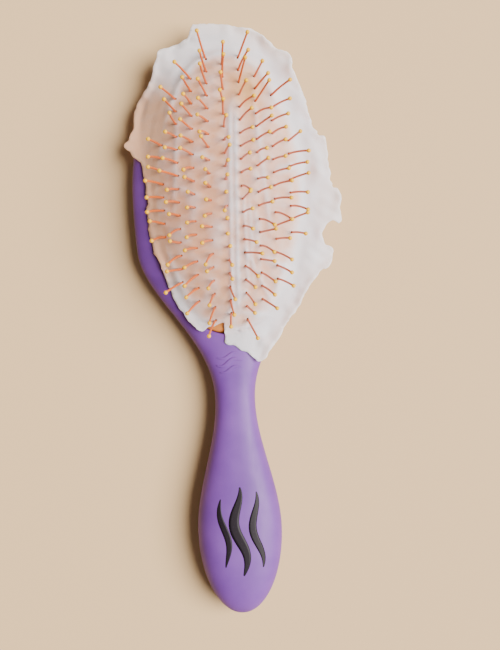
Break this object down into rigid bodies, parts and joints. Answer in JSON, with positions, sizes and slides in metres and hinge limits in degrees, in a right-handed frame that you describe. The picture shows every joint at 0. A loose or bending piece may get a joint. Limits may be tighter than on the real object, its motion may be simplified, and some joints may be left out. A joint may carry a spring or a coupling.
{
  "type": "paddle brush",
  "caption": "Hair brush with a two-shell handle, an oval domed rubber cushion, splayed bristles with ball tips and a thin sheet pushed down over them.",
  "frame": {"origin": "centre of the head's oval on the flat land of its back", "axes": "+Z towards the bristles, +Y towards the top of the head, +X to the right seen from the bristle side with the head up"},
  "size_m": [0.0849, 0.2381, 0.041],
  "materials": {
    "body_back": "satin soft-touch lacquer",
    "body_front": "satin soft-touch lacquer",
    "frame_plastic": "moulded",
    "cushion_rubber": "smooth moulded elastomer",
    "sheet_fabric": "thin non-woven sheet",
    "stem_nylon": "drawn nylon",
    "tip_nylon": "dipped ball tips"
  },
  "bodies": {
    "handle": {"back_shell": "body_back", "front_shell": "body_front", "cushion_frame": "frame_plastic"},
    "bristle_bed": {"cushion": "cushion_rubber"},
    "column_1": {"stems_1": "stem_nylon", "tips_1": "tip_nylon"},
    "column_2": {"stems_2": "stem_nylon", "tips_2": "tip_nylon"},
    "column_3": {"stems_3": "stem_nylon", "tips_3": "tip_nylon"},
    "column_4": {"stems_4": "stem_nylon", "tips_4": "tip_nylon"},
    "column_5": {"stems_5": "stem_nylon", "tips_5": "tip_nylon"},
    "column_6": {"stems_6": "stem_nylon", "tips_6": "tip_nylon"},
    "column_7": {"stems_7": "stem_nylon", "tips_7": "tip_nylon"},
    "column_8": {"stems_8": "stem_nylon", "tips_8": "tip_nylon"},
    "column_9": {"stems_9": "stem_nylon", "tips_9": "tip_nylon"},
    "cover_sheet": {"sheet": "sheet_fabric"}
  },
  "joints": [
    {"name": "cushion_press", "type": "slide", "parent": "handle", "child": "bristle_bed", "axis": [0, 0, -1], "range_m": [0, 0.004], "stiffness_N_per_m": 1500, "springref_m": -0.0008, "deforming": ["cushion"]},
    {"name": "column_1_tilt", "type": "hinge", "parent": "bristle_bed", "child": "column_1", "pos_m": [-0.0252, 0, 0.016], "axis": [0, 1, 0], "range_deg": [-8, 8], "stiffness_Nm_per_rad": 0.01},
    {"name": "column_2_tilt", "type": "hinge", "parent": "bristle_bed", "child": "column_2", "pos_m": [-0.0189, 0, 0.0177], "axis": [0, 1, 0], "range_deg": [-8, 8], "stiffness_Nm_per_rad": 0.01},
    {"name": "column_3_tilt", "type": "hinge", "parent": "bristle_bed", "child": "column_3", "pos_m": [-0.0126, 0, 0.019], "axis": [0, 1, 0], "range_deg": [-8, 8], "stiffness_Nm_per_rad": 0.01},
    {"name": "column_4_tilt", "type": "hinge", "parent": "bristle_bed", "child": "column_4", "pos_m": [-0.0063, 0, 0.0193], "axis": [0, 1, 0], "range_deg": [-8, 8], "stiffness_Nm_per_rad": 0.01},
    {"name": "column_5_tilt", "type": "hinge", "parent": "bristle_bed", "child": "column_5", "pos_m": [0, 0, 0.0199], "axis": [0, 1, 0], "range_deg": [-8, 8], "stiffness_Nm_per_rad": 0.01},
    {"name": "column_6_tilt", "type": "hinge", "parent": "bristle_bed", "child": "column_6", "pos_m": [0.0063, 0, 0.0193], "axis": [0, 1, 0], "range_deg": [-8, 8], "stiffness_Nm_per_rad": 0.01},
    {"name": "column_7_tilt", "type": "hinge", "parent": "bristle_bed", "child": "column_7", "pos_m": [0.0126, 0, 0.019], "axis": [0, 1, 0], "range_deg": [-8, 8], "stiffness_Nm_per_rad": 0.01},
    {"name": "column_8_tilt", "type": "hinge", "parent": "bristle_bed", "child": "column_8", "pos_m": [0.0189, 0, 0.0177], "axis": [0, 1, 0], "range_deg": [-8, 8], "stiffness_Nm_per_rad": 0.01},
    {"name": "column_9_tilt", "type": "hinge", "parent": "bristle_bed", "child": "column_9", "pos_m": [0.0252, 0, 0.016], "axis": [0, 1, 0], "range_deg": [-8, 8], "stiffness_Nm_per_rad": 0.01},
    {"name": "sheet_lift", "type": "slide", "parent": "handle", "child": "cover_sheet", "axis": [0, 0, 1], "range_m": [0, 0.03], "deforming": ["sheet"]}
  ]
}
